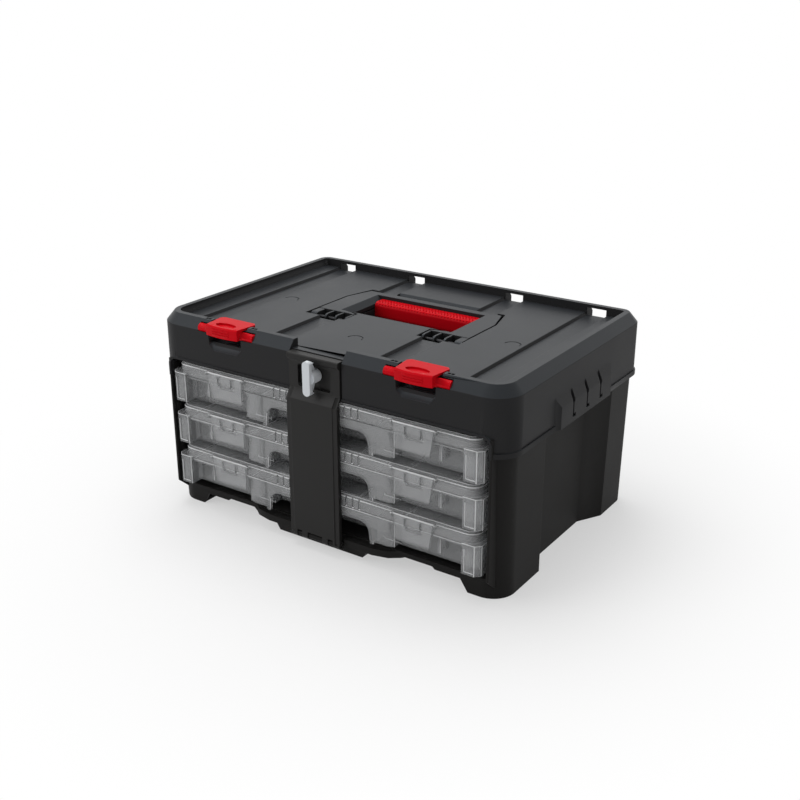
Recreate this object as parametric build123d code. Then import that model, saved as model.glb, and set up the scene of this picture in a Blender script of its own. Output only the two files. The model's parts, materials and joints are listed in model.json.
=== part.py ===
from build123d import *
import os

# Stackable tool case with three clear organisers in a front bay, behind a drop-down lock bar.
# Millimetres. X runs along the front, -Y faces the user, +Z is up.
# The origin is on the floor, under the middle of the outline.

# Case
case_width = 481.0
case_depth = 330.0
case_height = 246.0
corner_front = 32.0
corner_back = 22.0
wall = 3.0
fit_gap = 1.0
run_gap = 0.4

# Cover
cover_height = 77.0
shoulder_drop = 12.0
rim_inset = 10.0
rim_width = 7.0
rim_height = 10.0
deck_thickness = 4.0
channel_depth = 3.5
channel_draft = 2.0
lap_height = 14.0
ledge_width = 4.5
ledge_thickness = 3.0
bead_proud = 1.6
bead_height = 6.0
slot_width = 29.0
slot_inner_x = 73.5
slot_outer_in = 53.7
slot_height = 9.5
slot_fall = 7.0
mark_radius = 10.0
mark_width = 1.2
mark_depth = 0.8
mark_in = 82.0
mark_side_y = -3.0
mark_front_y = -84.0
grip_front_y = -57.0
grip_length = 142.0
grip_proud = 5.0
grip_face_height = 26.0
grip_slope_height = 12.0
grip_end_slope = 8.0
grip_notch_pitch = 34.0
grip_notch_width = 5.0
grip_notch_depth = 3.0

# Body
body_side_draft = 2.0
body_front_draft = 7.5
body_back_draft = 3.0
bay_side = 20.5
bay_corner = 8.0
bay_lip_width = 3.0
bay_lip_proud = 1.2
sill_top_z = 25.0
sill_bottom_z = 15.0
sill_step_x = 105.0
sill_step_length = 45.0
sill_step_height = 3.0
floor_z = 24.0
floor_thickness = 3.0
post_depth = 14.0
band_height = 55.0
recess_depth = 20.0
recess_flat_front_y = -31.0
recess_flat_length = 100.0
recess_slant = 42.0
recess_top_gap = 3.0
foot_length_x = 48.0
foot_length_y = 76.0
foot_plate = 4.0
foot_slant = 10.0

# Carrying handle
handle_half_width = 107.0
handle_back_y = 84.0
handle_corner_y = 48.0
handle_corner_in = 11.0
handle_axis_y = -24.0
handle_thickness = 12.0
handle_bar_depth = 10.0
handle_bar_height = 26.0
arm_width = 28.0
arm_slope = 7.0
arm_foot_x = 54.0
well_front_y = -4.0
well_depth = 32.0
tub_wall = 3.0
tub_gap = 2.0
tub_back_gap = 5.0
tub_back_slope = 7.0
hinge_reach = 12.0
hinge_pin_radius = 2.0
hinge_pin_seat = 4.0
knuckle_radius = 5.5
knuckle_width = 2.6
knuckle_count = 4
knuckle_side = 9.0
grip_drop = 4.5
grip_depth = 17.0
grip_height = 22.0
grip_round = 6.0

# Stacking latches
latch_in = 109.5
latch_axis_in = 5.5
latch_axis_drop = 9.5
latch_ear_radius = 5.2
latch_ear_half = 41.0
latch_lip_half = 23.5
latch_plate_back_half = 26.5
latch_plate_depth = 28.0
latch_plate_corner = 4.0
latch_plate_thickness = 3.0
latch_end_proud = 4.5
latch_bow = 2.5
latch_lip_thickness = 4.0
latch_lip_height = 13.0
latch_lip_chamfer = 1.5
latch_rib_half = 13.0
latch_rib_proud = 0.8
latch_rib_height = 1.3
latch_rib_pitch = 2.8
latch_rib_count = 3
latch_dish_half = 14.5
latch_dish_reach = 6.5
latch_dish_in = 4.0
latch_dish_depth = 2.2
latch_pin_radius = 1.8
latch_pin_length = 4.0
finger_recess_height = 33.0
finger_recess_depth = 5.0
finger_recess_corner = 7.0

# Lock bar
bar_half_width = 35.0
bar_proud = 9.0
bar_thickness = 6.0
bar_web = 3.0
bar_flange = 4.0
bar_border = 6.0
bar_border_step = 0.8
bar_axis_z = 16.0
bar_knuckle_radius = 4.5
bar_pin_radius = 2.0
bar_pin_short = 1.0
bar_slot_half = 10.5
bar_side_slot_x = 22.0
bar_side_slot_width = 7.0
head_proud = 2.0
head_depth_in = 5.0
bar_shoulder_drop = 51.5
bar_shoulder_height = 10.0
head_lip_proud = 3.5
head_lip_height = 6.0
boss_half = 75.0
boss_bend_x = 94.0
boss_bend_in = 3.0
boss_end_x = 108.0
boss_proud = 1.5
boss_top_z = 23.5
boss_foot_half = 66.0
boss_foot_slant = 6.0
boss_foot_z = 6.0

# Lock knob and cam
knob_proud = 16.0
knob_drop = 32.0
knob_height = 40.0
knob_width = 10.0
knob_fin_depth = 14.5
knob_flange = 4.0
knob_web = 3.5
knob_scoop_radius = 6.5
knob_scoop_z = 11.0
knob_boss_radius = 8.0
spindle_radius = 3.5
window_half_width = 22.5
window_height = 26.0
window_drop = 3.0
window_depth = 4.0
window_corner = 3.0
cam_length = 30.0
cam_width = 9.0
cam_thickness = 4.0
keeper_thickness = 4.0
keeper_gap = 2.0
cam_screw_radius = 3.5
cam_screw_head = 2.0
cam_screw_shank = 1.5

# Organisers
organiser_count = 3
organiser_base_z = 29.0
organiser_gap = 2.0
organiser_proud = 1.5
organiser_side_gap = 5.0
organiser_corner = 14.0
organiser_back_corner = 6.0
organiser_depth = 307.5
tray_wall = 2.0
flange_thickness = 3.0
flange_overhang = 5.5
rail_thickness = 4.0
rail_start = 12.0
set_back = 17.5
leg_width = 25.0
leg_corner = 8.5
leg_slant = 2.5
leg_lift = 3.5
arch_draft = 10.0
arch_depth = 30.0
arch_band = 11.5
arch_round = 12.0
handle_band = 4.0
post_width = 22.0
post_wing = 6.0
post_proud = 4.0
post_corner = 6.0
post_rise = 3.5
post_wall = 2.5
post_frame = 3.5
post_frame_depth = 0.7
pillar_in = 49.0
pillar_width = 4.5
pillar_height = 18.0
lid_height = 15.5
lid_top = 2.0
lid_edge = 2.4
lid_rib_pitch = 9.0
lid_rib_count = 14
lid_rib_slot = 1.6
lid_rib_depth = 0.7
divider_thickness = 1.6
divider_drop = 1.5
lid_hinge_x = 120.0
lid_knuckle_radius = 3.5
lid_knuckle_length = 20.0
lid_lug_length = 12.0
lid_lug_drop = 14.0
lid_pin_radius = 1.5
box_latch_in = 78.0
box_latch_half = 26.0
box_latch_slant = 4.5
box_latch_height = 34.0
box_latch_axis_drop = 3.6
box_latch_thickness = 2.6
box_latch_pin_radius = 0.9
box_latch_pin_length = 2.0
box_lug_width = 3.0
hook_reach = 2.4
hook_height = 2.5
tongue_half = 10.7
tongue_drop = 6.0
tongue_height = 12.0
tongue_slot = 1.4
tongue_corner = 3.5

# Places worked out from the sizes above
front = knob_proud - (case_depth + knob_proud + bead_proud) / 2
back = front + case_depth
half = case_width / 2
body_half = half - wall - fit_gap
seam_z = case_height - cover_height
shoulder_z = case_height - shoulder_drop
deck_z = case_height - rim_height
band_bottom_z = case_height - band_height
body_top_z = seam_z + lap_height
recess_top_z = seam_z - recess_top_gap
bay_half_width = half - bay_side
slot_outer_x = half - slot_outer_in
mark_x = half - mark_in
channel_z = deck_z - channel_depth
cavity_top_z = channel_z - deck_thickness
rim_back_y = front + rim_inset + rim_width
latch_x = half - latch_in
latch_axis_y = front + latch_axis_in
latch_axis_z = case_height - latch_axis_drop
latch_lip_bottom_z = case_height - latch_lip_height
finger_recess_bottom_z = case_height - finger_recess_height
bar_face_y = front - bar_proud
bar_back_y = bar_face_y + bar_thickness
bar_axis_y = bar_face_y + bar_knuckle_radius
bar_pin_half = bar_half_width - bar_pin_short
head_face_y = front - head_proud
head_back_y = front + head_depth_in
head_top_z = deck_z
head_bottom_z = band_bottom_z - fit_gap
bar_shoulder_high_z = case_height - bar_shoulder_drop
bar_shoulder_low_z = bar_shoulder_high_z - bar_shoulder_height
knob_z = case_height - knob_drop
window_z = knob_z - window_drop
keeper_y = head_back_y + fit_gap
cam_y = keeper_y + keeper_thickness + fit_gap
handle_axis_z = deck_z - handle_thickness / 2
handle_bar_y = handle_back_y - handle_bar_depth
arm_inner_x = handle_half_width - arm_width
arm_low_x = arm_inner_x - arm_slope
hinge_bay = (handle_half_width - knuckle_side - arm_foot_x) / (knuckle_count - 1) - knuckle_width
well_floor_z = deck_z - well_depth
grip_top_z = deck_z - grip_drop
organiser_pitch = (band_bottom_z - organiser_base_z) / organiser_count
organiser_height = organiser_pitch - organiser_gap
organiser_front = front - organiser_proud
organiser_back = organiser_front + organiser_depth
post_half = bay_half_width - organiser_side_gap
organiser_half = post_half - post_wing
tray_half = organiser_half - flange_overhang
tray_height = organiser_height - lid_height
arch_height = tray_height - arch_band
box_latch_x = organiser_half - box_latch_in
box_latch_axis = organiser_height - box_latch_axis_drop
leg_outer_x = box_latch_x - box_latch_half - fit_gap
arch_half_width = leg_outer_x - leg_width
post_inner_x = post_half - post_width
divider_outer_x = organiser_half / 2
divider_inner_x = organiser_half / 6
lid_axis_y = organiser_back + lid_knuckle_radius + run_gap
box_latch_axis_y = organiser_front - run_gap - box_latch_thickness / 2


def block(x0, x1, y0, y1, z0, z1):
    """Box between two corners."""
    return Pos((x0 + x1) / 2, (y0 + y1) / 2, (z0 + z1) / 2) * Box(x1 - x0, y1 - y0, z1 - z0)


def rod(x0, x1, y, z, radius):
    """Round bar along X."""
    return Pos((x0 + x1) / 2, y, z) * Rot(0, 90, 0) * Cylinder(radius, x1 - x0)


def shaft(z, y0, y1, radius):
    """Round bar along Y, in the middle of the case."""
    return Pos(0, (y0 + y1) / 2, z) * Rot(90, 0, 0) * Cylinder(radius, y1 - y0)


def along_x(points, x0, x1):
    """Outline of (y, z) points, run along X."""
    sheet = Plane.YZ * Polygon(*points, align=None)
    return Pos(x0, 0, 0) * extrude(sheet, amount=x1 - x0, dir=(1, 0, 0))


def along_y(sheet, y0, y1):
    """Sheet drawn in (x, z), run along Y."""
    return Pos(0, y0, 0) * extrude(Plane.XZ * sheet, amount=y1 - y0, dir=(0, 1, 0))


def upright(points, z0, z1):
    """Outline of (x, y) points, run along Z."""
    return Pos(0, 0, z0) * extrude(Polygon(*points, align=None), amount=z1 - z0, dir=(0, 0, 1))


def both_sides(shape):
    """The shape and its mirror image across the middle of the case."""
    return shape + mirror(shape, about=Plane.YZ)


def plan(half_width, y0, y1, radius_front, radius_back, z):
    """Plan outline with its own corner radii at the front and the back."""
    sheet = Pos(0, (y0 + y1) / 2, 0) * Rectangle(2 * half_width, y1 - y0)
    sheet = fillet(sheet.vertices().sort_by(Axis.Y)[:2], radius_front)
    sheet = fillet(sheet.vertices().sort_by(Axis.Y)[-2:], radius_back)
    return Pos(0, 0, z) * sheet


def inset_plan(inset, z):
    """Plan outline of the cover's wall, moved in all round."""
    return plan(half - inset, front + inset, back - inset, corner_front - inset, corner_back - inset, z)


def side_recess(grow):
    """Hand recess in the right side of the body, grown by a wall where the inside is shaped."""
    flat_x = half - wall - recess_depth - grow
    y0 = recess_flat_front_y - grow
    y1 = recess_flat_front_y + recess_flat_length + grow
    outer_x = half + recess_depth
    slant = recess_slant * (outer_x - flat_x) / (half - flat_x)
    points = [(flat_x, y0), (flat_x, y1), (outer_x, y1 + slant), (outer_x, y0 - slant)]
    return upright(points, -fit_gap, recess_top_z + grow)


def bay_sheet(grow):
    """Outline of the bay opening, from the sill up to the band of the cover."""
    height = band_bottom_z - sill_top_z
    middle = (band_bottom_z + sill_top_z) / 2
    width = 2 * (bay_half_width + grow)
    return Pos(0, middle) * RectangleRounded(width, height + 2 * grow, bay_corner + grow)


def bay_lip(y0, y1):
    """Thin lip round the bay opening."""
    return along_y(bay_sheet(bay_lip_width) - bay_sheet(0), y0, y1)


def body_block(inset):
    """Drafted block of the body, moved in by a wall for the inside."""
    lap = wall + fit_gap + inset
    radius_front = corner_front - lap
    radius_back = corner_back - lap
    low_front = front + lap + body_front_draft
    low_back = back - lap - body_back_draft
    low = plan(body_half - body_side_draft - inset, low_front, low_back, radius_front, radius_back, 0)
    high = plan(body_half - inset, front + lap, back - lap, radius_front, radius_back, body_top_z)
    return loft([low, high], ruled=True)


def foot_gap(y0, y1):
    """Space under the body between two feet, with slanted ends."""
    x = half - foot_length_x
    sheet = Polygon((-x, -fit_gap), (foot_slant - x, sill_bottom_z), (x - foot_slant, sill_bottom_z),
                    (x, -fit_gap), align=None)
    return along_y(sheet, y0, y1)


def sill_step():
    """Raised stretch of the sill's lower edge on the right."""
    x0 = sill_step_x
    x1 = sill_step_x + sill_step_length
    high = sill_bottom_z + sill_step_height
    low = sill_bottom_z - fit_gap
    sheet = Polygon((x0, low), (x0, sill_bottom_z), (x0 + sill_step_height, high),
                    (x1 - sill_step_height, high), (x1, sill_bottom_z), (x1, low), align=None)
    return along_y(sheet, front, front + post_depth + wall)


def make_body():
    """Lower body: drafted shell, hand recesses, bay, runner rails, feet and hinge block."""
    recesses = both_sides(side_recess(0))
    solid = body_block(0) - recesses
    cavity = body_block(wall) - both_sides(side_recess(wall))
    above_floor = block(-half, half, front, back, floor_z, body_top_z + fit_gap)
    below_floor = block(-half, half, front, back, -fit_gap, floor_z - floor_thickness)
    feet = block(half - foot_length_x, half, front, front + foot_length_y, 0, foot_plate)
    feet += block(half - foot_length_x, half, back - foot_length_y, back, 0, foot_plate)
    shell = solid - (cavity & above_floor) - ((cavity & below_floor) - both_sides(feet))
    post = block(bay_half_width, half, front, front + post_depth, sill_top_z, body_top_z)
    shell += both_sides(post) & solid
    sill = block(-half, half, front, front + post_depth + wall, sill_bottom_z, sill_top_z)
    shell += sill & solid
    rail_x = tray_half + fit_gap
    rail_y = organiser_front + set_back + rail_start
    for level in range(organiser_count):
        rail_z = organiser_base_z + level * organiser_pitch + tray_height - flange_thickness - run_gap
        rail = block(rail_x, half, rail_y, back, rail_z - rail_thickness, rail_z)
        shell += both_sides(rail) & solid
    below_seam = block(-half, half, front, front + post_depth, 0, seam_z - fit_gap)
    shell += body_block(-bay_lip_proud) & bay_lip(front, front + post_depth) & below_seam
    shell -= along_y(bay_sheet(0), front - fit_gap, front + post_depth + wall + fit_gap)
    shell -= foot_gap(front - fit_gap, front + foot_length_y)
    shell -= foot_gap(back - foot_length_y, back + fit_gap)
    shell -= both_sides(sill_step())
    return shell + hinge_block()


def bar_slots():
    """Middle and width of each slot in the foot of the lock bar."""
    return [(-bar_side_slot_x, bar_side_slot_width), (0, 2 * bar_slot_half),
            (bar_side_slot_x, bar_side_slot_width)]


def hinge_block():
    """Bulge of the sill with a narrower foot, and three lugs that hold the pin in the slots of the bar."""
    y_out = front - boss_proud
    y_in = front + post_depth + wall
    right = [(boss_end_x, y_in), (boss_end_x, front + post_depth), (boss_bend_x, front + boss_bend_in),
             (boss_half, y_out)]
    base = upright(right + [(-x, y) for x, y in reversed(right)], sill_bottom_z, boss_top_z)
    taper = boss_foot_half - boss_foot_slant
    base += along_y(Polygon((-taper, boss_foot_z), (taper, boss_foot_z), (boss_foot_half, sill_bottom_z),
                            (-boss_foot_half, sill_bottom_z), align=None), front + fit_gap, y_in)
    swing = bar_knuckle_radius + fit_gap
    side = bar_half_width + fit_gap
    base -= rod(-side, side, bar_axis_y, bar_axis_z, swing)
    base -= block(-side, side, y_out - fit_gap, bar_axis_y + swing, bar_axis_z, floor_z)
    lug = bar_knuckle_radius - fit_gap
    for x, width in bar_slots():
        x0 = x - width / 2 + run_gap
        x1 = x + width / 2 - run_gap
        base += rod(x0, x1, bar_axis_y, bar_axis_z, lug)
        base += block(x0, x1, bar_axis_y, bar_axis_y + swing + fit_gap, bar_axis_z - lug, bar_axis_z + lug)
    return base - rod(-bar_pin_half, bar_pin_half, bar_axis_y, bar_axis_z, bar_pin_radius + run_gap / 2)


def handle_outline(grow, grow_back):
    """Plan points of the carrying handle, grown for the tub it lies in."""
    w = handle_half_width + grow
    y1 = handle_back_y + grow_back
    y0 = handle_axis_y
    return [(w, y0), (w, handle_corner_y), (w - handle_corner_in, y1),
            (handle_corner_in - w, y1), (-w, handle_corner_y), (-w, y0)]


def finger_opening(z0, z1, inset):
    """Opening between the arms of the handle, moved in where the deck stands clear of them."""
    foot_x = arm_foot_x - inset
    arm_x = arm_low_x - inset
    low_y = handle_axis_y - hinge_reach - tub_gap
    high_y = handle_axis_y + hinge_reach + tub_gap + fit_gap + inset
    right = [(foot_x, low_y), (foot_x, high_y), (arm_x, well_front_y + inset), (arm_x, handle_bar_y)]
    return upright(right + [(-x, y) for x, y in reversed(right)], z0, z1)


def handle_tub():
    """Space that the handle, its knuckles and the user's fingers take out of the deck."""
    tub = handle_outline(tub_gap, tub_back_gap)
    arms = upright(tub, deck_z - handle_thickness - fit_gap, case_height)
    arms -= finger_opening(0, case_height, tub_gap)
    bar_y = handle_bar_y - tub_gap
    deep = upright(tub, well_floor_z, case_height)
    deep &= block(-half, half, bar_y, back, well_floor_z, case_height)
    well = block(-arm_low_x, arm_low_x, well_front_y, bar_y + tub_gap, well_floor_z, case_height)
    x0 = arm_foot_x - tub_gap
    x1 = handle_half_width + tub_gap
    pocket = block(x0, x1, handle_axis_y - hinge_reach, handle_axis_y + hinge_reach,
                   deck_z - handle_thickness - fit_gap, case_height)
    back_y = handle_back_y + tub_back_gap
    slope = along_x([(back_y - fit_gap, deck_z - tub_back_slope), (back_y, deck_z - tub_back_slope),
                     (back_y + tub_back_slope, deck_z), (back_y - fit_gap, deck_z)],
                    slot_width / 2 - slot_inner_x, slot_inner_x - slot_width / 2)
    return arms + deep + well + both_sides(pocket) + slope


def knuckle_places():
    """Ends of each knuckle plate of the right arm, from the inside out."""
    starts = [arm_foot_x + step * (hinge_bay + knuckle_width) for step in range(knuckle_count)]
    return [(x, x + knuckle_width) for x in starts[:-1]] + [(starts[-1], handle_half_width)]


def handle_knuckles():
    """Thin knuckle plates that carry each arm of the handle on its pin."""
    plates = None
    for x0, x1 in knuckle_places():
        plate = rod(x0, x1, handle_axis_y, handle_axis_z, knuckle_radius)
        plate += block(x0, x1, handle_axis_y, handle_axis_y + hinge_reach + tub_gap,
                       handle_axis_z - knuckle_radius, handle_axis_z + knuckle_radius)
        plates = plate if plates is None else plates + plate
    return both_sides(plates)


def latch_pocket():
    """Pocket of one stacking latch: trough for the ears, room for the lip to turn, seat for the plate."""
    ear = latch_ear_half + run_gap
    trough = rod(-ear, ear, latch_axis_y, latch_axis_z, latch_ear_radius + fit_gap)
    reach_y = latch_axis_in + latch_end_proud + latch_bow + latch_rib_proud
    reach_z = latch_axis_z - latch_lip_bottom_z
    swing = (reach_y ** 2 + reach_z ** 2) ** 0.5 + run_gap
    side = latch_lip_half + fit_gap
    room = rod(-side, side, latch_axis_y, latch_axis_z, swing)
    room &= block(-side, side, front - swing, back, latch_axis_z - swing, latch_axis_z)
    room += block(-side, side, front - fit_gap, latch_axis_y, latch_axis_z, case_height)
    seat_half = latch_plate_back_half + fit_gap
    seat_z = case_height - latch_plate_thickness
    seat = block(-seat_half, seat_half, front - fit_gap, rim_back_y + fit_gap, seat_z, case_height + fit_gap)
    pin = latch_ear_half + latch_pin_length + run_gap
    pins = rod(-pin, pin, latch_axis_y, latch_axis_z, latch_pin_radius + run_gap / 2)
    return trough + room + seat + pins


def finger_recess():
    """Six-sided finger recess under a stacking latch, narrower towards its floor."""
    depth = finger_recess_depth
    corner = finger_recess_corner
    top_z = latch_axis_z
    low_z = finger_recess_bottom_z
    w = latch_lip_half + fit_gap
    mouth = Polygon((-w, top_z), (-w, low_z + corner), (corner - w, low_z), (w - corner, low_z),
                    (w, low_z + corner), (w, top_z), align=None)
    w -= depth / 2
    low_z += depth
    corner /= 2
    rear = Polygon((-w, top_z), (-w, low_z + corner), (corner - w, low_z), (w - corner, low_z),
                   (w, low_z + corner), (w, top_z), align=None)
    mouth_plane = Plane.XZ.offset(run_gap - front)
    return loft([mouth_plane * mouth, Plane.XZ.offset(-front - depth) * rear], ruled=True)


def chamber_depth():
    """Depth of the cam chamber: the cam, its screw head and running room."""
    return fit_gap + cam_thickness + cam_screw_head + keeper_gap


def lock_recess():
    """Notch in the front of the cover for the head of the bar, with the keeper slot and the cam chamber."""
    w = bar_half_width + fit_gap
    top = case_height + fit_gap
    notch = block(-w, w, front - bead_proud - fit_gap, keeper_y, band_bottom_z - fit_gap, top)
    ramp_y = rim_back_y + fit_gap
    ramp = along_x([(head_back_y, head_top_z + fit_gap), (ramp_y, deck_z), (ramp_y, top), (head_back_y, top)],
                   -w, w)
    reach = cam_length / 2 + keeper_gap
    slot_half = cam_width / 2 + fit_gap
    slot_back = keeper_y + keeper_thickness
    slot = block(-slot_half, slot_half, head_back_y, slot_back + fit_gap, knob_z - reach, knob_z + reach)
    return notch + ramp + slot + shaft(knob_z, slot_back, slot_back + chamber_depth(), reach)


def side_grip():
    """Overhanging grip on the right side of the cover, with finger notches along its upper edge."""
    y0 = grip_front_y
    y1 = grip_front_y + grip_length
    face_z = seam_z + grip_face_height
    top_z = face_z + grip_slope_height
    outer_x = half + grip_proud
    bar = along_y(Polygon((half - wall, seam_z), (outer_x, seam_z), (outer_x, face_z), (half, top_z),
                          (half - wall, top_z), align=None), y0, y1)
    ends = upright([(half - wall, y0), (half, y0), (outer_x, y0 + grip_end_slope),
                    (outer_x, y1 - grip_end_slope), (half, y1), (half - wall, y1)], seam_z, top_z)
    bar &= ends
    middle = (y0 + y1) / 2
    for step in (-1, 0, 1):
        y = middle + step * grip_notch_pitch
        bar -= block(half, outer_x + fit_gap, y - grip_notch_width / 2, y + grip_notch_width / 2,
                     face_z - grip_notch_depth, top_z + fit_gap)
    return bar


def deck_channels():
    """Four drafted channels from front to back, each ending in a slot through the back rim."""
    y1 = back - rim_inset - rim_width
    w = slot_width / 2
    high = deck_z + fit_gap
    sheet = Polygon((channel_draft - w, channel_z), (w - channel_draft, channel_z), (w, deck_z), (w, high),
                    (-w, high), (-w, deck_z), align=None)
    slot_top = channel_z + slot_height
    slot = along_x([(y1 - fit_gap, channel_z), (y1 - fit_gap, slot_top), (back + fit_gap, slot_top),
                    (back + fit_gap, channel_z - slot_fall), (y1 + fit_gap, channel_z)],
                   channel_draft - w, w - channel_draft)
    channel = along_y(sheet, rim_back_y, y1) + slot
    cuts = [Pos(x, 0, 0) * channel for x in (-slot_outer_x, -slot_inner_x, slot_inner_x, slot_outer_x)]
    return Compound(children=cuts) - upright(handle_outline(tub_gap + tub_wall, tub_back_gap), 0, case_height)


def deck_mark(x, y):
    """Half-moon line sunk in the deck."""
    ring = Circle(mark_radius) - Circle(mark_radius - mark_width)
    ring -= Pos(0, -mark_radius) * Rectangle(2 * mark_radius, 2 * mark_radius)
    return Pos(x, y, deck_z - mark_depth) * extrude(ring, amount=channel_depth)


def make_cover():
    """Top cover: skirt with bead, rim, deck, channels, stacking slots, pockets and side grips."""
    skirt = extrude(inset_plan(0, seam_z), amount=shoulder_z - seam_z)
    crown = loft([inset_plan(0, shoulder_z), inset_plan(rim_inset, case_height)], ruled=True)
    bead = extrude(inset_plan(-bead_proud, seam_z), amount=bead_height)
    lip = bay_lip(front - bay_lip_proud, front + wall)
    lip &= block(-half, half, front - bay_lip_proud, front + wall, seam_z, case_height)
    cover = skirt + crown + bead + lip + both_sides(side_grip())
    lap = extrude(inset_plan(wall, seam_z - fit_gap), amount=lap_height + fit_gap)
    ledge = extrude(inset_plan(wall + ledge_width, body_top_z), amount=ledge_thickness)
    room_z = body_top_z + ledge_thickness
    cavity = ledge + extrude(inset_plan(wall, room_z), amount=cavity_top_z - room_z)
    tub = tub_gap + tub_wall
    keep = upright(handle_outline(tub, tub_back_gap + tub_wall), well_floor_z - tub_wall, deck_z)
    pin_end = pin_ends()[1] + tub_wall
    keep += block(-pin_end, pin_end, handle_axis_y - hinge_reach - tub_wall, handle_axis_y + hinge_reach,
                  deck_z - handle_thickness - tub_wall, deck_z)
    latch_half = latch_ear_half + latch_pin_length + wall
    keep += both_sides(block(latch_x - latch_half, latch_x + latch_half, front, rim_back_y + 2 * wall,
                             finger_recess_bottom_z - wall, cavity_top_z))
    lock_half = bar_half_width + 2 * wall
    lock_y = keeper_y + keeper_thickness + chamber_depth() + wall
    keep += block(-lock_half, lock_half, front, lock_y, band_bottom_z, cavity_top_z)
    keep += block(-half, half, back - rim_inset - rim_width, back, channel_z - slot_fall - wall, cavity_top_z)
    cover -= (lap + cavity) - keep
    cover -= extrude(inset_plan(rim_inset + rim_width, deck_z), amount=case_height)
    cover -= deck_channels()
    cover -= handle_tub()
    pin_x0, pin_x1 = pin_ends()
    cover -= both_sides(rod(pin_x0, pin_x1, handle_axis_y, handle_axis_z, hinge_pin_radius + run_gap / 2))
    pocket = latch_pocket() + finger_recess()
    cover -= Pos(latch_x, 0, 0) * pocket
    cover -= Pos(-latch_x, 0, 0) * pocket
    cover -= lock_recess()
    for x, y in ((-mark_x, mark_side_y), (0, mark_front_y), (mark_x, mark_side_y)):
        cover -= deck_mark(x, y)
    return cover - along_y(bay_sheet(0), front - bead_proud - fit_gap, front + post_depth + wall + fit_gap)


def make_handle_frame():
    """U-shaped handle frame with sloped inner edges and four knuckle plates on each arm."""
    outline = handle_outline(0, 0)
    frame = upright(outline, deck_z - handle_thickness, deck_z)
    bar = upright(outline, deck_z - handle_bar_height, deck_z)
    frame += bar & block(-half, half, handle_bar_y, back, 0, case_height)
    frame -= finger_opening(0, case_height, 0)
    low_z = deck_z - arm_slope
    edges = Polygon((-arm_inner_x, deck_z), (-arm_low_x, low_z), (arm_low_x, low_z), (arm_inner_x, deck_z),
                    align=None)
    frame -= along_y(edges, well_front_y, handle_bar_y)
    frame -= block(-half, half, front, handle_axis_y + hinge_reach + fit_gap, 0, case_height)
    frame += handle_knuckles()
    return frame - both_sides(rod(0, half, handle_axis_y, handle_axis_z, hinge_pin_radius + run_gap / 2))


def make_handle_grip():
    """Rounded grip along the front of the handle bar."""
    middle_y = handle_bar_y - grip_depth / 2
    sheet = Plane.YZ * Pos(middle_y, grip_top_z - grip_height / 2) * Rectangle(grip_depth, grip_height)
    sheet = fillet(sheet.vertices().sort_by(Axis.Y)[:2], grip_round)
    return Pos(-arm_low_x, 0, 0) * extrude(sheet, amount=2 * arm_low_x, dir=(1, 0, 0))


def pin_ends():
    """Ends of the right hinge pin, seated in the walls of the pocket."""
    return arm_foot_x - tub_gap - hinge_pin_seat, handle_half_width + tub_gap + hinge_pin_seat


def make_handle_pins():
    """Two hinge pins of the handle."""
    x0, x1 = pin_ends()
    return both_sides(rod(x0 + run_gap, x1 - run_gap, handle_axis_y, handle_axis_z, hinge_pin_radius))


def lip_plan(proud, z):
    """Plan of a stacking latch's lip, bowed at the front."""
    w = latch_lip_half
    y_end = front - proud
    y_in = front - latch_end_proud + latch_lip_thickness
    bow = ThreePointArc((-w, y_end), (0, y_end - latch_bow), (w, y_end))
    rest = Polyline((w, y_end), (w, y_in), (-w, y_in), (-w, y_end))
    return Pos(0, 0, z) * make_face(bow + rest)


def make_stack_latch():
    """Stacking latch: plate with a finger dish, bowed and ribbed lip, ears and trunnions."""
    proud = latch_end_proud
    y_in = front - proud + latch_lip_thickness
    y_back = front + latch_plate_depth
    plate_z = case_height - latch_plate_thickness
    lip_half = latch_lip_half
    right = [(lip_half, y_in - fit_gap), (latch_plate_back_half, y_back - latch_plate_corner),
             (latch_plate_back_half - latch_plate_corner, y_back)]
    latch = upright(right + [(-x, y) for x, y in reversed(right)], plate_z, case_height)
    edge_z = case_height - latch_lip_chamfer
    latch += extrude(lip_plan(proud, latch_lip_bottom_z), amount=edge_z - latch_lip_bottom_z)
    latch += loft([lip_plan(proud, edge_z), lip_plan(proud - latch_lip_chamfer, case_height)], ruled=True)
    rib_reach = proud + latch_bow + latch_rib_proud
    for step in range(latch_rib_count):
        rib_z = latch_lip_bottom_z + latch_rib_pitch * (step + 1)
        rib = extrude(lip_plan(proud + latch_rib_proud, rib_z), amount=latch_rib_height)
        latch += rib & block(-latch_rib_half, latch_rib_half, front - rib_reach, front, rib_z, case_height)
    latch += rod(-latch_ear_half, latch_ear_half, latch_axis_y, latch_axis_z, latch_ear_radius)
    latch += block(-lip_half, lip_half, y_in - fit_gap, latch_axis_y, latch_axis_z, plate_z)
    pin = latch_ear_half + latch_pin_length
    latch += rod(-pin, pin, latch_axis_y, latch_axis_z, latch_pin_radius)
    dish = extrude(Ellipse(latch_dish_half, latch_dish_reach), amount=latch_plate_thickness)
    return latch - Pos(0, front + latch_dish_in, case_height - latch_dish_depth) * dish


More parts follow.
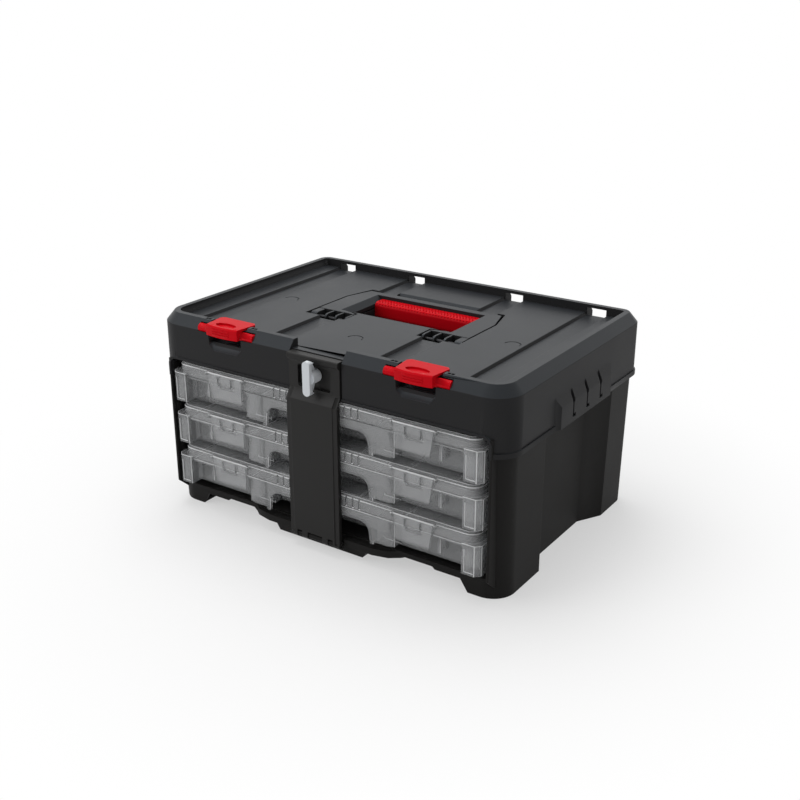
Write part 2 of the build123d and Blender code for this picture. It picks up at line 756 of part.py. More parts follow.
def make_lock_bar():
    """Drop-down bar: head with a window for the knob, ribbed body, knuckles round the pin."""
    lip_z = head_top_z - head_lip_height
    lip_y = head_face_y - head_lip_proud
    profile = [(bar_face_y, bar_axis_z), (bar_face_y, bar_shoulder_low_z), (head_face_y, bar_shoulder_high_z),
               (head_face_y, lip_z - head_lip_proud), (lip_y, lip_z), (lip_y, head_top_z - fit_gap),
               (lip_y + fit_gap, head_top_z), (head_back_y, head_top_z), (head_back_y, head_bottom_z),
               (bar_back_y, head_bottom_z), (bar_back_y, bar_axis_z)]
    bar = along_x(profile, -bar_half_width, bar_half_width)
    inner = bar_half_width - bar_flange
    bar -= block(-inner, inner, bar_face_y + bar_web, bar_back_y + fit_gap,
                 bar_axis_z + bar_knuckle_radius + bar_flange, bar_shoulder_low_z - fit_gap)
    step = bar_border_step
    out = bar_face_y - fit_gap
    border = along_x([(out, 0), (bar_face_y + step, 0), (bar_face_y + step, bar_shoulder_low_z),
                      (head_face_y + step / 2, bar_shoulder_high_z), (out, bar_shoulder_high_z)],
                     bar_half_width - bar_border, bar_half_width + fit_gap)
    bar -= both_sides(border)
    bar += rod(-bar_half_width, bar_half_width, bar_axis_y, bar_axis_z, bar_knuckle_radius)
    window = Pos(0, window_z) * RectangleRounded(2 * window_half_width, window_height, window_corner)
    bar -= along_y(window, head_face_y - fit_gap, head_face_y + window_depth)
    bar -= shaft(knob_z, head_face_y, head_back_y + fit_gap, spindle_radius + run_gap)
    slot_top = bar_axis_z + bar_knuckle_radius + fit_gap
    for x, width in bar_slots():
        bar -= block(x - width / 2, x + width / 2, bar_face_y - fit_gap, front + fit_gap, 0, slot_top)
    return bar - rod(-half, half, bar_axis_y, bar_axis_z, bar_pin_radius + run_gap / 2)


def make_lock_bar_pin():
    """Hinge pin of the lock bar."""
    return rod(run_gap - bar_pin_half, bar_pin_half - run_gap, bar_axis_y, bar_axis_z, bar_pin_radius)


def make_lock_knob():
    """Wing knob with finger scoops behind its edge, a round boss and its spindle through the bar's head."""
    y0 = front - knob_proud
    sheet = Pos(0, knob_z) * SlotOverall(knob_height, knob_width, rotation=90)
    knob = along_y(sheet, y0, y0 + knob_fin_depth)
    side = Plane.YZ * Pos(y0, knob_z) * Ellipse(knob_fin_depth, knob_height / 2 + fit_gap)
    knob &= Pos(-knob_width, 0, 0) * extrude(side, amount=2 * knob_width, dir=(1, 0, 0))
    scoop_y = y0 + knob_flange + knob_scoop_radius
    for lift in (-knob_scoop_z, knob_scoop_z):
        knob -= both_sides(rod(knob_web / 2, knob_width, scoop_y, knob_z + lift, knob_scoop_radius))
    knob += shaft(knob_z, y0 + knob_flange, head_face_y + window_depth - run_gap, knob_boss_radius)
    knob += shaft(knob_z, y0 + knob_flange, cam_y, spindle_radius)
    return knob - shaft(knob_z, cam_y - cam_thickness, cam_y + fit_gap, cam_screw_shank)


def make_lock_cam():
    """Cam behind the keeper, upright when released."""
    sheet = Pos(0, knob_z) * SlotOverall(cam_length, cam_width, rotation=90)
    cam = along_y(sheet, cam_y, cam_y + cam_thickness)
    return cam - shaft(knob_z, cam_y - fit_gap, cam_y + cam_thickness + fit_gap, cam_screw_shank)


def make_lock_cam_screw():
    """Screw that holds the cam on the spindle."""
    y = cam_y + cam_thickness
    head = shaft(knob_z, y, y + cam_screw_head, cam_screw_radius)
    return head + shaft(knob_z, y - 2 * cam_thickness + run_gap, y, cam_screw_shank - run_gap / 4)


def organiser_plan(half_width, inset, z):
    """Plan of an organiser with rounded corners, moved in by a wall for the inside."""
    return plan(half_width - inset, organiser_front + inset, organiser_back - inset, organiser_corner - inset,
                organiser_back_corner - inset, z)


def arch_space(grow, z0, z1):
    """Finger space behind the handle band of an organiser."""
    w = arch_half_width + grow
    return block(-w, w, organiser_front - fit_gap, organiser_front + arch_depth + grow, z0, z1)


def front_spaces(grow, z0):
    """Spaces under the rim where an organiser's front wall is set back, between its legs and its posts."""
    top = z0 + tray_height - flange_thickness
    y1 = organiser_front + set_back + grow
    low = z0 - fit_gap
    return both_sides(block(leg_outer_x - grow, post_half, organiser_front - fit_gap, y1, low, top + grow))


def leg_corners(z0):
    """Slanted outer corners and raised feet of the legs beside the arch."""
    y0 = organiser_front - fit_gap
    y1 = organiser_front + leg_slant
    low = z0 - fit_gap
    x1 = leg_outer_x + fit_gap
    slant = upright([(leg_outer_x - leg_corner, y0), (x1, y0), (x1, y1), (leg_outer_x, y1),
                     (leg_outer_x - leg_corner, organiser_front)], low, z0 + tray_height - flange_thickness)
    foot = block(arch_half_width - tray_wall, x1, y0, organiser_front + set_back, low, z0 + leg_lift)
    return both_sides(slant + foot)


def post_outline(inset):
    """Plan of the right corner post, moved in for its hollow."""
    y0 = organiser_front - post_proud + inset
    y1 = organiser_front + set_back + tray_wall
    x0 = post_inner_x + inset
    x1 = post_half - inset
    return [(x0, y0), (x1 - post_corner, y0), (x1, y0 + post_corner), (x1, y1), (x0, y1)]


def corner_posts(z0):
    """Hollow posts at the front corners of a tray, with a sunk panel and a lip in front of the lid."""
    top = z0 + tray_height
    post = upright(post_outline(0), z0 + leg_lift, top + post_rise)
    post -= upright(post_outline(post_wall), z0, top - flange_thickness)
    post -= extrude(organiser_plan(organiser_half + run_gap, -run_gap, top), amount=organiser_height)
    y0 = organiser_front - post_proud
    post -= block(post_inner_x + post_frame, post_half - post_corner - post_frame / 2, y0 - fit_gap,
                  y0 + post_frame_depth, z0 + leg_lift + post_frame, top - flange_thickness)
    return both_sides(post)


def hinge_lug(x0, z0):
    """Lug of the lid hinge at the back of a tray."""
    top = z0 + tray_height
    axis_z = top + lid_knuckle_radius
    outer_y = lid_axis_y + lid_knuckle_radius
    foot_y = organiser_back - run_gap
    outline = [(foot_y, top - lid_lug_drop), (foot_y, top), (organiser_back, top), (organiser_back, axis_z),
               (outer_y, axis_z), (outer_y, axis_z - lid_knuckle_radius)]
    lug = along_x(outline, x0, x0 + lid_lug_length)
    return lug + rod(x0, x0 + lid_lug_length, lid_axis_y, axis_z, lid_knuckle_radius)


def make_tray(z0):
    """Organiser tray: rim flange, finger arch between two legs, set-back front wall and corner posts."""
    top = z0 + tray_height
    rim_z = top - flange_thickness
    tray = extrude(organiser_plan(tray_half, 0, z0), amount=tray_height)
    tray += extrude(organiser_plan(organiser_half, 0, rim_z), amount=flange_thickness)
    inside = extrude(organiser_plan(tray_half, tray_wall, z0 + tray_wall), amount=organiser_height)
    inside -= arch_space(tray_wall, 0, case_height)
    inside -= front_spaces(tray_wall, z0)
    tray -= inside
    tray -= arch_space(0, z0 - fit_gap, top + fit_gap)
    tray -= front_spaces(0, z0)
    w = arch_half_width
    tray += block(-w, w, organiser_front, organiser_front + handle_band, z0, top)
    low = z0 - organiser_height
    crown_z = z0 + arch_height
    arch = Polygon((-w, low), (arch_draft - w, crown_z), (w - arch_draft, crown_z), (w, low), align=None)
    arch = fillet(arch.vertices().sort_by(Axis.Y)[-2:], arch_round)
    tray -= along_y(arch, organiser_front - fit_gap, organiser_front + handle_band + fit_gap)
    tray -= leg_corners(z0)
    pillar_x = organiser_half - pillar_in
    wall_y = organiser_front + set_back
    pillars = block(pillar_x, pillar_x + pillar_width, organiser_front + fit_gap, wall_y + run_gap,
                    rim_z - pillar_height, rim_z + run_gap)
    reach = lid_knuckle_length / 2 + run_gap
    lugs = hinge_lug(lid_hinge_x - reach - lid_lug_length, z0) + hinge_lug(lid_hinge_x + reach, z0)
    lugs -= rod(0, half, lid_axis_y, top + lid_knuckle_radius, lid_pin_radius + run_gap / 2)
    return tray + corner_posts(z0) + both_sides(pillars + lugs)


def make_lid(z0):
    """Organiser lid: skirted cap with ribs, lugs for the latches and knuckles at the back."""
    z1 = z0 + tray_height
    z2 = z0 + organiser_height
    lid = extrude(organiser_plan(organiser_half, 0, z1), amount=lid_height)
    lid = chamfer(lid.faces().sort_by(Axis.Z)[-1].edges(), lid_edge)
    lid -= extrude(organiser_plan(organiser_half, tray_wall, z1 - lid_top), amount=lid_height)
    for step in range(lid_rib_count):
        x = (step - (lid_rib_count - 1) / 2) * lid_rib_pitch
        lid -= block(x - lid_rib_slot / 2, x + lid_rib_slot / 2, organiser_front - fit_gap,
                     organiser_front + lid_rib_depth, z1 + lid_top, z2 - lid_top)
    axis_z = z0 + box_latch_axis
    reach = box_latch_half + run_gap
    y0 = box_latch_axis_y - box_lug_width / 2 - run_gap
    y1 = organiser_front + run_gap
    low = axis_z - box_lug_width
    high = z2 - lid_edge
    lugs = block(box_latch_x - reach - box_lug_width, box_latch_x - reach, y0, y1, low, high)
    lugs += block(box_latch_x + reach, box_latch_x + reach + box_lug_width, y0, y1, low, high)
    lugs -= rod(0, half, box_latch_axis_y, axis_z, box_latch_pin_radius + run_gap / 2)
    x0 = lid_hinge_x - lid_knuckle_length / 2
    x1 = lid_hinge_x + lid_knuckle_length / 2
    hinge_z = z1 + lid_knuckle_radius
    knuckle = rod(x0, x1, lid_axis_y, hinge_z, lid_knuckle_radius)
    knuckle += block(x0, x1, organiser_back - run_gap, lid_axis_y, hinge_z - lid_knuckle_radius / 2,
                     hinge_z + lid_knuckle_radius)
    knuckle -= rod(0, half, lid_axis_y, hinge_z, lid_pin_radius + run_gap / 2)
    return lid + both_sides(lugs + knuckle)


def tongue_sheet(z0, inset):
    """Outline of a latch's sprung tongue, moved in by the width of its slot."""
    top = z0 + organiser_height - tongue_drop
    outline = RectangleRounded(2 * (tongue_half - inset), 2 * tongue_height, tongue_corner)
    return Pos(box_latch_x, top + inset) * outline


def make_box_latch(z0):
    """Right latch of an organiser: plate with a sprung tongue, hook under the tray's rim, and pivot pins."""
    x0 = box_latch_x - box_latch_half
    x1 = box_latch_x + box_latch_half
    y1 = organiser_front - run_gap
    y0 = y1 - box_latch_thickness
    high = z0 + box_latch_axis
    low = z0 + organiser_height - box_latch_height
    sheet = Polygon((x0, low), (x1 - box_latch_slant, low), (x1, high), (x0, high), align=None)
    latch = along_y(sheet, y0, y1)
    latch += rod(x0, x1, box_latch_axis_y, high, box_latch_thickness / 2)
    top = z0 + organiser_height - tongue_drop
    below = Pos(box_latch_x, z0) * Rectangle(4 * tongue_half, 2 * (top - z0))
    slot = (tongue_sheet(z0, 0) - tongue_sheet(z0, tongue_slot)) & below
    latch -= along_y(slot, y0 - fit_gap, y1 + fit_gap)
    hook_z = z0 + tray_height - flange_thickness - run_gap
    latch += block(box_latch_x - tongue_half, box_latch_x + tongue_half, y0, y1 + hook_reach,
                   hook_z - hook_height, hook_z)
    pin = box_latch_half + box_latch_pin_length
    return latch + rod(box_latch_x - pin, box_latch_x + pin, box_latch_axis_y, high, box_latch_pin_radius)


def make_dividers(z0):
    """Four loose divider plates, standing on the floor of a tray."""
    low = z0 + tray_wall
    high = z0 + tray_height - divider_drop
    y_end = organiser_back - tray_wall - run_gap
    y_outer = organiser_front + set_back + tray_wall + run_gap
    y_inner = organiser_front + arch_depth + 2 * tray_wall + run_gap
    t = divider_thickness / 2
    plates = block(divider_outer_x - t, divider_outer_x + t, y_outer, y_end, low, high)
    plates += block(divider_inner_x - t, divider_inner_x + t, y_inner, y_end, low, high)
    return both_sides(plates)


def make_lid_pins(z0):
    """Two pins of the lid hinge."""
    reach = lid_knuckle_length / 2 + run_gap + lid_lug_length
    axis_z = z0 + tray_height + lid_knuckle_radius
    return both_sides(rod(lid_hinge_x - reach, lid_hinge_x + reach, lid_axis_y, axis_z, lid_pin_radius))


def save(name, shape):
    """Write one piece."""
    export_step(shape, os.path.join("parts", name + ".step"))


os.makedirs("parts", exist_ok=True)
save("body_shell", make_body())
save("top_cover", make_cover())
save("handle_frame", make_handle_frame())
save("handle_grip", make_handle_grip())
save("handle_pins", make_handle_pins())
save("stack_latch_left", Pos(-latch_x, 0, 0) * make_stack_latch())
save("stack_latch_right", Pos(latch_x, 0, 0) * make_stack_latch())
save("lock_bar", make_lock_bar())
save("lock_bar_pin", make_lock_bar_pin())
save("lock_knob", make_lock_knob())
save("lock_cam", make_lock_cam())
save("lock_cam_screw", make_lock_cam_screw())
for number in range(1, organiser_count + 1):
    base = organiser_base_z + (number - 1) * organiser_pitch
    prefix = "organiser_" + str(number)
    save(prefix + "_tray", make_tray(base))
    save(prefix + "_lid", make_lid(base))
    save(prefix + "_latch_right", make_box_latch(base))
    save(prefix + "_latch_left", mirror(make_box_latch(base), about=Plane.YZ))
    save(prefix + "_dividers", make_dividers(base))
    save(prefix + "_lid_pins", make_lid_pins(base))
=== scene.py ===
# %% [markdown]
# # A stackable tool case, finished from its CAD frame
# The case is moulded plastic: a black body, a black cover with a carrying handle and two red stacking
# latches, and three clear organisers behind a drop-down lock bar. The CAD part already has every piece in
# its place. This lesson gives each piece its moulded edges and its surface, and lights it as in a studio.

# %% Load the frame
import json
import math
import bpy
import bmesh
from mathutils import Matrix, Vector
from mathutils.bvhtree import BVHTree

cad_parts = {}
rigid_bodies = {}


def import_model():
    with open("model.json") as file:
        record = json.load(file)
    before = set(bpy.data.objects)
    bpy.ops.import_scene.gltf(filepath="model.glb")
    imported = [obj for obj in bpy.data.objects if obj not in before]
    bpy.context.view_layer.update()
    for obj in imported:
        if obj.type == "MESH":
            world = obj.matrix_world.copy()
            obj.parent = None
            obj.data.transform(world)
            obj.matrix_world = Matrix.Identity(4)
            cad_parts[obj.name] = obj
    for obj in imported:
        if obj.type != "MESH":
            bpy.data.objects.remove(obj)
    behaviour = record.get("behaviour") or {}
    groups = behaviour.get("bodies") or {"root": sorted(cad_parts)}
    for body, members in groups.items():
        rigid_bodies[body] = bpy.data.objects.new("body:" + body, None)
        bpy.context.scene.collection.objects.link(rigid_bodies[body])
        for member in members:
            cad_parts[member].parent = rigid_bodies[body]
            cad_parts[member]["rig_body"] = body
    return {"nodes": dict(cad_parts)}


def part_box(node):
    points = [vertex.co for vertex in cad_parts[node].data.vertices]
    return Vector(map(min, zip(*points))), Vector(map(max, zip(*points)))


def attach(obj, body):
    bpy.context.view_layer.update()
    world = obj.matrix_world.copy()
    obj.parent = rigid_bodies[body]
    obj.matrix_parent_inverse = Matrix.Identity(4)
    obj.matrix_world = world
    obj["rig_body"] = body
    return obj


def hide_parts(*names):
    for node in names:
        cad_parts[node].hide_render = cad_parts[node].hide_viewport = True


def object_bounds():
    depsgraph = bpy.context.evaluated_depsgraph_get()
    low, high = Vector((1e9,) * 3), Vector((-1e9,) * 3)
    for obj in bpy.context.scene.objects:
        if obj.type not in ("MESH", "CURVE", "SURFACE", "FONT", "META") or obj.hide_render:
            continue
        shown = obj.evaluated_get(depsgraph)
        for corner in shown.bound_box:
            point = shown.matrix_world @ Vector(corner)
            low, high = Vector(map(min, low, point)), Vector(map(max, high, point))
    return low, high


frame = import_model()
nodes = frame["nodes"]
cad_low, cad_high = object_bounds()
mm = 0.001


def in_mm(length):
    """A length of the frame in millimetres, to a tenth."""
    return round(length / mm, 1)


print("nodes", len(nodes), "size in mm", [in_mm(b - a) for a, b in zip(cad_low, cad_high)])

# %% [markdown]
# ## Camera
# The photo looks down at the right front corner from a little over a metre away. The lens and place were
# fitted to points on the front, the deck and the latches, so that an 800 by 800 image puts those points
# within a few pixels of where the photo has them.

# %% Camera
camera_tilt, camera_turn = 21.6, 34.13
camera_data = bpy.data.cameras.new("photo_camera")
camera_data.lens = 51.03
camera_data.sensor_width = 36
camera = bpy.data.objects.new("photo_camera", camera_data)
camera.location = (0.7273, -1.0655, 0.6439)
camera.rotation_euler = (math.radians(90 - camera_tilt), 0, math.radians(camera_turn))
bpy.context.collection.objects.link(camera)
scene = bpy.context.scene
scene.camera = camera
scene.view_settings.view_transform = "Standard"
print("camera at", [round(x, 3) for x in camera.location])

# %% [markdown]
# ## Studio
# A product photo on white uses soft light from all round. The world is a pale sky, and two big soft panels
# give the light a direction: one above, a weaker one at the front left. Rays that see the background
# straight, in a reflection or through clear plastic find pure white.

# %% Studio
def seen_directly(tree):
    """1 for rays from the camera, a reflection or clear plastic, and 0 for the rays that light."""
    path = tree.nodes.new("ShaderNodeLightPath")
    seen = path.outputs["Is Camera Ray"]
    for kind in ("Is Glossy Ray", "Is Transmission Ray"):
        either = tree.nodes.new("ShaderNodeMath")
        either.operation = "MAXIMUM"
        tree.links.new(seen, either.inputs[0])
        tree.links.new(path.outputs[kind], either.inputs[1])
        seen = either.outputs[0]
    return seen


def white_background(tree, strength):
    background = tree.nodes.new("ShaderNodeBackground")
    background.inputs["Color"].default_value = (1, 1, 1, 1)
    background.inputs["Strength"].default_value = strength
    return background


def soft_panel(name, place, aim, size, power):
    lamp_data = bpy.data.lights.new(name, "AREA")
    lamp_data.shape = "SQUARE"
    lamp_data.size = size
    lamp_data.energy = power
    lamp = bpy.data.objects.new(name, lamp_data)
    lamp.location = place
    lamp.rotation_euler = (Vector(aim) - Vector(place)).to_track_quat("-Z", "Y").to_euler()
    bpy.context.collection.objects.link(lamp)


world = bpy.data.worlds.new("studio")
scene.world = world
world.use_nodes = True
tree = world.node_tree
tree.nodes.clear()
out = tree.nodes.new("ShaderNodeOutputWorld")
sky = white_background(tree, strength=0.42)
pure_white = white_background(tree, strength=1.0)
mix = tree.nodes.new("ShaderNodeMixShader")
tree.links.new(seen_directly(tree), mix.inputs[0])
tree.links.new(sky.outputs[0], mix.inputs[1])
tree.links.new(pure_white.outputs[0], mix.inputs[2])
tree.links.new(mix.outputs[0], out.inputs["Surface"])
panel_aim = (0, 0, 0.1)
soft_panel("top_panel", place=(-0.35, 0.25, 1.7), aim=panel_aim, size=1.4, power=20)
soft_panel("front_panel", place=(-1.2, -1.5, 1.1), aim=panel_aim, size=1.2, power=10)
print("two soft panels and a pale sky")

# %% [markdown]
# The floor is a wide white sheet that takes the shadow of the case. Light falls off with distance, so a
# plain white sheet turns grey far away. For rays that see the sheet directly, a ring in the sheet's own
# coordinates hands over from half paint near its middle to even white at 0.6 m from it. The white half
# keeps the shadow under the case pale. The sheet lies half a millimetre under the feet, clear of their
# faces.

# %% Floor
sheet_reach = 8
sheet_gap = 0.5 * mm
sheet = bmesh.new()
bmesh.ops.create_grid(sheet, x_segments=1, y_segments=1, size=sheet_reach)
bmesh.ops.translate(sheet, verts=sheet.verts, vec=(0, 0, -sheet_gap))
floor_mesh = bpy.data.meshes.new("floor")
sheet.to_mesh(floor_mesh)
sheet.free()
floor = bpy.data.objects.new("floor", floor_mesh)
bpy.context.collection.objects.link(floor)
floor_paint = bpy.data.materials.new("floor_paint")
floor_paint.use_nodes = True
tree = floor_paint.node_tree
paint = tree.nodes["Principled BSDF"]
paint.inputs["Base Color"].default_value = (0.9, 0.9, 0.9, 1)
paint.inputs["Roughness"].default_value = 1.0
paint.inputs["Specular IOR Level"].default_value = 0.0
even_white = tree.nodes.new("ShaderNodeEmission")
even_white.inputs["Strength"].default_value = 1.0
coordinates = tree.nodes.new("ShaderNodeTexCoord")
distance = tree.nodes.new("ShaderNodeVectorMath")
distance.operation = "LENGTH"
tree.links.new(coordinates.outputs["Object"], distance.inputs[0])
ring = tree.nodes.new("ShaderNodeMapRange")
ring.interpolation_type = "SMOOTHSTEP"
ring.inputs["From Min"].default_value = 0.25
ring.inputs["From Max"].default_value = 0.6
ring.inputs["To Min"].default_value = 0.5
ring.inputs["To Max"].default_value = 1.0
tree.links.new(distance.outputs["Value"], ring.inputs["Value"])
share = tree.nodes.new("ShaderNodeMath")
share.operation = "MULTIPLY"
tree.links.new(ring.outputs["Result"], share.inputs[0])
tree.links.new(seen_directly(tree), share.inputs[1])
blend = tree.nodes.new("ShaderNodeMixShader")
tree.links.new(share.outputs[0], blend.inputs[0])
tree.links.new(paint.outputs[0], blend.inputs[1])
tree.links.new(even_white.outputs[0], blend.inputs[2])
tree.links.new(blend.outputs[0], tree.nodes["Material Output"].inputs["Surface"])
floor.data.materials.append(floor_paint)
print("floor laid")

# %% [markdown]
# ## Plastics
# Every plastic here is a Principled shader. A fine noise in the object's own coordinates gives the
# spark-eroded grain of the mould, and a slow noise changes the roughness and the shade a little, as
# handling does.

# %% Plastics
grain_scale, grain_depth = 1400, 0.2 * mm
wear_scale = 18
roughness_spread, shade_spread = 0.05, 0.08


def plastic(name, colour, roughness, specular, grain, alpha=1.0):
    material = bpy.data.materials.new(name)
    material.use_nodes = True
    tree = material.node_tree
    shader = tree.nodes["Principled BSDF"]
    shader.inputs["Specular IOR Level"].default_value = specular
    shader.inputs["Alpha"].default_value = alpha
    coordinates = tree.nodes.new("ShaderNodeTexCoord")
    fine = tree.nodes.new("ShaderNodeTexNoise")
    fine.inputs["Scale"].default_value = grain_scale
    fine.inputs["Detail"].default_value = 2
    tree.links.new(coordinates.outputs["Object"], fine.inputs["Vector"])
    bump = tree.nodes.new("ShaderNodeBump")
    bump.inputs["Strength"].default_value = grain
    bump.inputs["Distance"].default_value = grain_depth
    tree.links.new(fine.outputs["Fac"], bump.inputs["Height"])
    tree.links.new(bump.outputs["Normal"], shader.inputs["Normal"])
    slow = tree.nodes.new("ShaderNodeTexNoise")
    slow.inputs["Scale"].default_value = wear_scale
    slow.inputs["Detail"].default_value = 3
    tree.links.new(coordinates.outputs["Object"], slow.inputs["Vector"])
    spread = tree.nodes.new("ShaderNodeMapRange")
    spread.inputs["To Min"].default_value = roughness - roughness_spread
    spread.inputs["To Max"].default_value = roughness + roughness_spread
    tree.links.new(slow.outputs["Fac"], spread.inputs["Value"])
    tree.links.new(spread.outputs["Result"], shader.inputs["Roughness"])
    shade = tree.nodes.new("ShaderNodeMix")
    shade.data_type = "RGBA"
    shade.inputs["A"].default_value = (*[(1 - shade_spread) * c for c in colour], 1)
    shade.inputs["B"].default_value = (*[min(1, (1 + shade_spread) * c) for c in colour], 1)
    tree.links.new(slow.outputs["Fac"], shade.inputs["Factor"])
    tree.links.new(shade.outputs["Result"], shader.inputs["Base Color"])
    return material


finishes = {
    "body_plastic": plastic("black_body", (0.016, 0.0155, 0.015), 0.5, 0.06, 0.25),
    "cover_plastic": plastic("black_cover", (0.022, 0.022, 0.023), 0.48, 0.08, 0.25),
    "bar_plastic": plastic("black_bar", (0.014, 0.0135, 0.013), 0.42, 0.18, 0.15),
    "red_plastic": plastic("red", (0.56, 0.003, 0.009), 0.32, 0.04, 0.1),
    "knob_plastic": plastic("pale_grey", (0.66, 0.69, 0.72), 0.35, 0.4, 0.05),
    "clear_plastic": plastic("clear_wall", (0.62, 0.63, 0.64), 0.2, 0.5, 0.03, alpha=0.25),
    "pin_steel": plastic("steel", (0.5, 0.5, 0.5), 0.3, 0.5, 0.05),
}
# The deck keeps the cover's plastic with a deeper grain, and adds a painted sheen: a higher specular and a
# cooler colour than the walls.
deck_grain_and_painted_sheen = plastic("black_deck_painted_sheen", (0.0172, 0.0185, 0.0205), 0.4, 0.22, 0.3)
deck_shader = deck_grain_and_painted_sheen.node_tree.nodes["Principled BSDF"]
# A cool tint on the deck's specular: a painted reflection.
deck_shader.inputs["Specular Tint"].default_value = (0.84, 0.92, 1.0, 1)
# Painted highlight: a bright, nearly opaque copy of the clear plastic for the organisers' edges that catch
# the light.
clear_painted_highlight = plastic("clear_painted_highlight", (0.85, 0.86, 0.87), 0.2, 0.5, 0.03, alpha=0.8)
# Painted shade: a dark copy of the clear plastic for the organisers' edges that face down, for the black
# bay seen through them.
clear_shade = plastic("clear_shade", (0.06, 0.062, 0.065), 0.2, 0.5, 0.03, alpha=0.75)
dark_steel = plastic("dark_steel", (0.03, 0.03, 0.032), 0.5, 0.2, 0.05)
for material in (finishes["pin_steel"], dark_steel):
    material.node_tree.nodes["Principled BSDF"].inputs["Metallic"].default_value = 1.0
print("finishes for the slots", *finishes)

# %% [markdown]
# ## Moulded edges
# No moulded edge is knife sharp. Each CAD node is copied, its loose triangles are merged into clean faces,
# and its outer edges are rounded by a fraction of a millimetre, so that they catch the light. Faces that
# the rounding shrank to nothing are merged away. Normals weighted by area keep the big flat faces flat
# beside those narrow rounds.

# %% Moulded edges
merge_distance, clean_distance = 0.01 * mm, 0.005 * mm
flat_angle = math.radians(0.6)
outer_angle = math.radians(28)
crease_angle = math.radians(32)


def soften(name, slot, width, extra_finishes=(), choose=None, segments=2, shape=None):
    mesh = bmesh.new()
    mesh.from_mesh(shape or nodes[name].data)
    bmesh.ops.remove_doubles(mesh, verts=mesh.verts, dist=merge_distance)
    bmesh.ops.dissolve_limit(mesh, angle_limit=flat_angle, verts=mesh.verts, edges=mesh.edges)
    bmesh.ops.recalc_face_normals(mesh, faces=mesh.faces)
    shortest = 2.5 * width
    sharp = [e for e in mesh.edges if len(e.link_faces) == 2 and e.calc_length() > shortest
             and e.calc_face_angle_signed() > outer_angle]
    bmesh.ops.bevel(mesh, geom=sharp, offset=width, offset_type="OFFSET", segments=segments, profile=0.5,
                    affect="EDGES", clamp_overlap=False, material=-1)
    bmesh.ops.remove_doubles(mesh, verts=mesh.verts, dist=clean_distance)
    bmesh.ops.dissolve_degenerate(mesh, dist=clean_distance, edges=mesh.edges)
    mesh.normal_update()
    for face in mesh.faces:
        face.smooth = True
        face.material_index = choose(face) if choose else 0
    piece_mesh = bpy.data.meshes.new(name + "_moulded")
    mesh.to_mesh(piece_mesh)
    mesh.free()
    for finish in (finishes[slot], *extra_finishes):
        piece_mesh.materials.append(finish)
    piece_mesh.set_sharp_from_angle(angle=crease_angle)
    piece = bpy.data.objects.new(name + "_moulded", piece_mesh)
    bpy.context.collection.objects.link(piece)
    flats = piece.modifiers.new("flats", "WEIGHTED_NORMAL")
    flats.mode = "FACE_AREA"
    flats.weight = 100
    flats.keep_sharp = True
    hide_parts(name)
    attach(piece, nodes[name]["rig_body"])
    return piece


case_round = 0.45 * mm
case_pieces = {
    "body_shell": "body_plastic",
    "handle_grip": "red_plastic",
    "stack_latch_left": "red_plastic",
    "stack_latch_right": "red_plastic",
    "lock_bar": "bar_plastic",
    "lock_cam": "knob_plastic",
}
moulded = {}
for name, slot in case_pieces.items():
    moulded[name] = soften(name, slot, case_round)
    print(name, len(moulded[name].data.polygons), "faces")

# %% [markdown]
# ## Bumps on the grip
# The top of the red grip is covered with small blunt bumps that keep a wet hand from slipping. They are cut
# into the mould as one staggered pattern. Here a ray falls on the grip at each point of the pattern, and a
# six-sided bump stands there square to the surface, so the rows also follow the round front edge.

# %% Bumps on the grip
def add_piece(name, shape, slot, body):
    """Makes a piece of its own from a finished bmesh, which it frees."""
    mesh = bpy.data.meshes.new(name)
    shape.to_mesh(mesh)
    shape.free()
    mesh.materials.append(finishes[slot])
    piece = bpy.data.objects.new(name, mesh)
    bpy.context.collection.objects.link(piece)
    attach(piece, body)
    return piece


grip_low, grip_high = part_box("handle_grip")
grip_surface = BVHTree.FromObject(moulded["handle_grip"], bpy.context.evaluated_depsgraph_get())
bump_pitch, row_pitch = 4.4 * mm, 3.0 * mm
bump_sides, bump_height = 6, 1.6 * mm
bump_foot, bump_head = 1.5 * mm, 0.7 * mm
above_grip = grip_high[2] + 5 * mm
lowest_bump = grip_high[2] - 6 * mm
steepest = 0.35
bumps = bmesh.new()
rows = int((grip_high[1] - grip_low[1]) / row_pitch)
columns = int((grip_high[0] - grip_low[0]) / bump_pitch)
for row in range(rows):
    for column in range(columns):
        x = grip_low[0] + (column + 0.5 + 0.5 * (row % 2)) * bump_pitch
        y = grip_low[1] + (row + 0.5) * row_pitch
        point, normal, _, _ = grip_surface.ray_cast(Vector((x, y, above_grip)), Vector((0, 0, -1)))
        if point is None or normal.z < steepest or point.z < lowest_bump:
            continue
        stand = normal.to_track_quat("Z", "Y").to_matrix().to_4x4()
        bmesh.ops.create_cone(bumps, cap_ends=True, segments=bump_sides, radius1=bump_foot,
                              radius2=bump_head, depth=bump_height,
                              matrix=Matrix.Translation(point) @ stand)
grip_bumps = add_piece("grip_bumps", bumps, "red_plastic", nodes["handle_grip"]["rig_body"])
print("bumps", len(grip_bumps.data.vertices) // (2 * bump_sides))

# %% [markdown]
# ## Grooves of the side grips
# Under each finger notch of the cover's side grips a narrow groove runs down the face and ends in a small
# slot. Two small square holes sit in the rim on either side of each red latch. The solids leave these small
# cuts out, so a Boolean modifier makes them here in a merged copy of the cover, before its edges are
# rounded. The boxes of a groove and its slot overlap, so the modifier also sorts out its own cutters.

# %% Grooves of the side grips
def add_box(shape, low, high):
    """Adds a box between two corners in millimetres to a bmesh."""
    middle = Matrix.Translation((Vector(low) + Vector(high)) / 2 * mm)
    size = Matrix.Diagonal((*((Vector(high) - Vector(low)) * mm), 1))
    bmesh.ops.create_cube(shape, size=1, matrix=middle @ size)


def across(inner, outer, side):
    """Both x places of a box on one side of the case, the lower one first."""
    return sorted((inner * side, outer * side))


